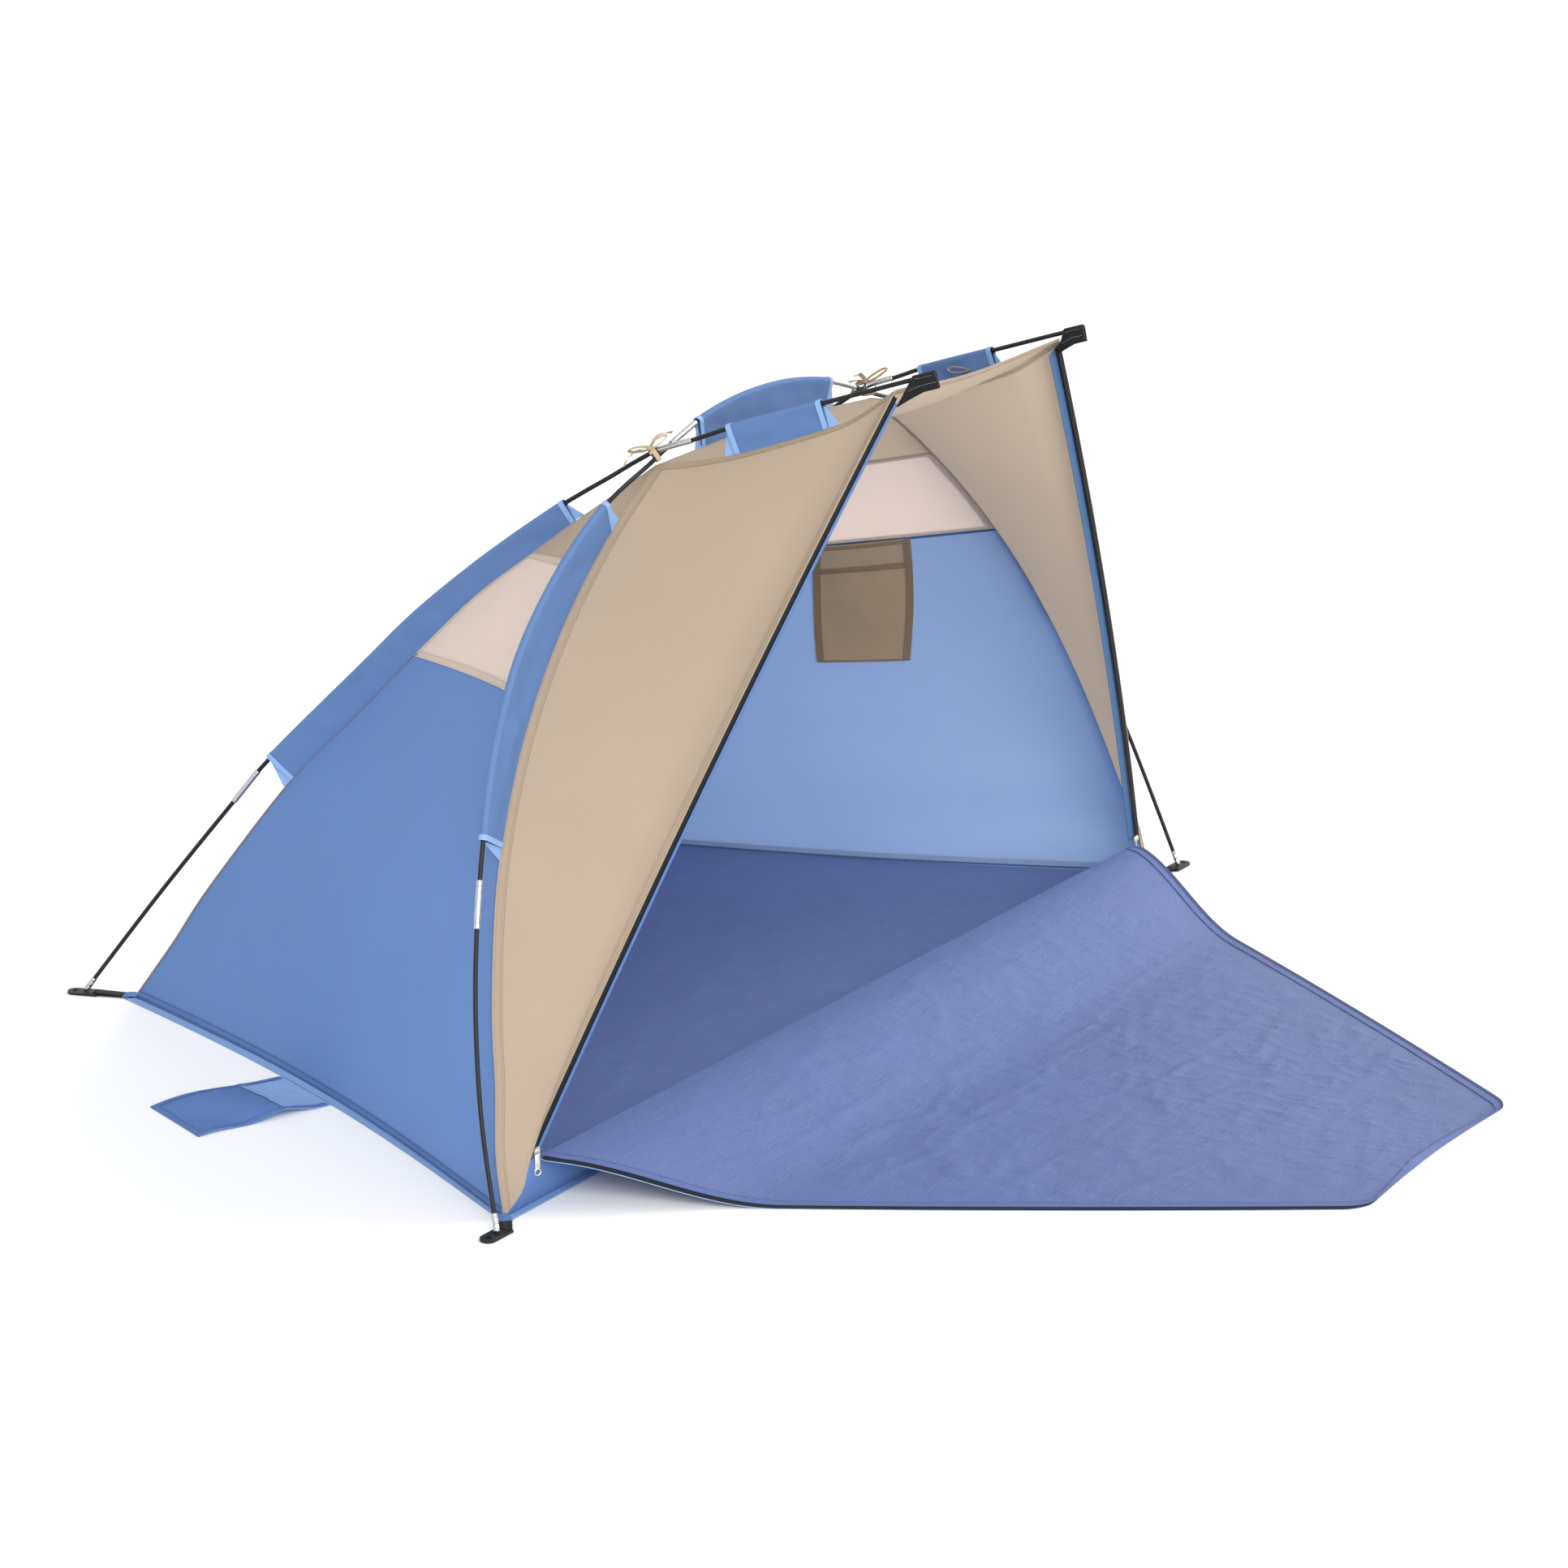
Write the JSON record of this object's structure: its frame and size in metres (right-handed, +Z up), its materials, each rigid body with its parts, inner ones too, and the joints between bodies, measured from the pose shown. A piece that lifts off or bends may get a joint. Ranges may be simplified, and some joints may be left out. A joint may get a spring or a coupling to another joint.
{
  "type": "beach tent",
  "caption": "Beach tent for two: bent poles carry a hung cloth shell with side windows and sleeves; the zipped door is laid out as a mat in front.",
  "frame": {"origin": "on the ground, under the middle of the floor", "axes": "+X to the right of a person who faces the doorway; +Y from the doorway to the back; +Z up"},
  "size_m": [2.064, 2.1654, 1.1217],
  "materials": {
    "blue_cloth": "matte",
    "beige_cloth": "matte",
    "window_cloth": "matte",
    "floor_cloth": "matte",
    "mat_cloth": "matte",
    "pocket_cloth": "matte",
    "tie_tape": "matte",
    "black_webbing": "matte",
    "zip_black": "matte",
    "fibreglass": "satin",
    "black_plastic": "satin",
    "steel": "satin",
    "zip_metal": "satin"
  },
  "bodies": {
    "tent": {"back_panel": "blue_cloth", "corner_strap_front_left": "black_webbing", "corner_strap_front_right": "black_webbing", "corner_strap_rear_left": "black_webbing", "corner_strap_rear_right": "black_webbing", "crossing_ferrule_left": "steel", "crossing_ferrule_right": "steel", "floor_sheet": "floor_cloth", "front_panel_left": "beige_cloth", "front_panel_right": "beige_cloth", "ground_plate_front_left": "black_plastic", "ground_plate_front_right": "black_plastic", "ground_plate_rear_left": "black_plastic", "ground_plate_rear_right": "black_plastic", "hoop_foot_rod_left": "fibreglass", "hoop_foot_rod_right": "fibreglass", "hoop_side_rod_left": "fibreglass", "hoop_side_rod_right": "fibreglass", "hoop_top_rod": "fibreglass", "peak_pocket_left": "black_webbing", "peak_pocket_right": "black_webbing", "rear_ferrule_left": "steel", "rear_ferrule_right": "steel", "rear_foot_rod_left": "fibreglass", "rear_foot_rod_right": "fibreglass", "rear_middle_rod_left": "fibreglass", "rear_middle_rod_right": "fibreglass", "rear_peak_rod_left": "fibreglass", "rear_peak_rod_right": "fibreglass", "rear_sleeve_left": "blue_cloth", "rear_sleeve_right": "blue_cloth", "roof_panel": "beige_cloth", "roof_sleeve_left": "blue_cloth", "roof_sleeve_right": "blue_cloth", "side_ferrule_left": "steel", "side_ferrule_right": "steel", "side_panel_left": "blue_cloth", "side_panel_right": "blue_cloth", "side_sleeve_left": "blue_cloth", "side_sleeve_right": "blue_cloth", "sill_strip": "blue_cloth", "storage_pocket": "pocket_cloth", "tie_bow_left": "tie_tape", "tie_bow_right": "tie_tape", "top_ferrule_left": "steel", "top_ferrule_right": "steel", "top_sleeve": "blue_cloth", "upper_side_left": "beige_cloth", "upper_side_right": "beige_cloth", "window_left": "window_cloth", "window_right": "window_cloth", "zip_tape_left": "zip_black", "zip_tape_right": "zip_black"},
    "door": {"door_panel": "mat_cloth"},
    "slider_left": {"zip_slider_left": "zip_metal"},
    "slider_right": {"zip_slider_right": "zip_metal"},
    "pull_left": {"zip_pull_left": "zip_metal"},
    "pull_right": {"zip_pull_right": "zip_metal"},
    "flap_left": {"sand_flap_left": "blue_cloth"},
    "flap_right": {"sand_flap_right": "blue_cloth"}
  },
  "joints": [
    {"name": "door_lift", "type": "hinge", "parent": "tent", "child": "door", "pos_m": [0, -0.53345, 0.07], "axis": [-1, 0, 0], "range_deg": [0, 78]},
    {"name": "zip_run_left", "type": "hinge", "parent": "tent", "child": "slider_left", "pos_m": [8.2334, 0.4262, -4.9485], "axis": [0, 0.9822, 0.1878], "range_deg": [0, 6.39]},
    {"name": "pull_swing_left", "type": "hinge", "parent": "slider_left", "child": "pull_left", "pos_m": [-0.87774, -0.53832, 0.08136], "axis": [-1, 0, 0], "range_deg": [0, 140]},
    {"name": "flap_lift_left", "type": "hinge", "parent": "tent", "child": "flap_left", "pos_m": [-0.71066, 0.02663, 0.0008], "axis": [0.3491, 0.9371, 0], "range_deg": [0, 80]},
    {"name": "zip_run_right", "type": "hinge", "parent": "tent", "child": "slider_right", "pos_m": [-8.2334, 0.4262, -4.9485], "axis": [0, -0.9822, -0.1878], "range_deg": [0, 6.39]},
    {"name": "pull_swing_right", "type": "hinge", "parent": "slider_right", "child": "pull_right", "pos_m": [0.87774, -0.53832, 0.08136], "axis": [-1, 0, 0], "range_deg": [0, 140]},
    {"name": "flap_lift_right", "type": "hinge", "parent": "tent", "child": "flap_right", "pos_m": [0.71066, 0.02663, 0.0008], "axis": [0.3491, -0.9371, 0], "range_deg": [0, 80]}
  ],
  "couplings": [
    {"joint": "zip_run_left", "follows": "door_lift", "ratio": 0.0819},
    {"joint": "zip_run_right", "follows": "door_lift", "ratio": 0.0819}
  ]
}
